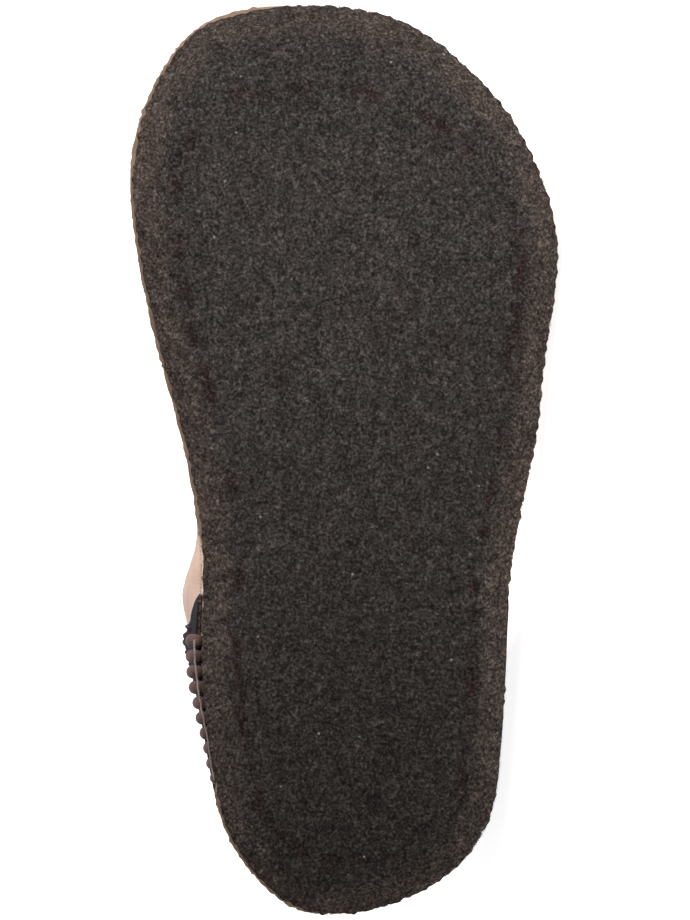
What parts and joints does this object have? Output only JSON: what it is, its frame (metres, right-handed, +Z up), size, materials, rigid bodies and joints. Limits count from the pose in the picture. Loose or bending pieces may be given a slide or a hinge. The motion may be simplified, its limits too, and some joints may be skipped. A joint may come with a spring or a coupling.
{
  "type": "slipper",
  "caption": "Toddler's left slipper of thick felt with a granular rubber sole, an overcast edge seam and a navy heel piece, lying on its outer side.",
  "frame": {"origin": "middle of the bounding box, on the floor that the slipper lies on", "axes": "+X from heel to toe, +Z up, away from the floor and towards the big toe's side; the sole faces -Y and leans up by 8 degrees"},
  "size_m": [0.1506, 0.0566, 0.0705],
  "materials": {
    "granular_rubber": "matt, granular",
    "pale_felt": "felted wool, cut edge",
    "plum_yarn": "twisted wool yarn",
    "rose_felt": "felted wool, fuzzy",
    "navy_felt": "felted wool, fuzzy",
    "insole_felt": "felted wool, pressed"
  },
  "bodies": {
    "root": {"rubber_tread": "granular_rubber", "felt_sole": "pale_felt", "edge_seam": "plum_yarn", "upper": "rose_felt", "heel_counter": "navy_felt", "insole": "insole_felt"}
  },
  "joints": []
}
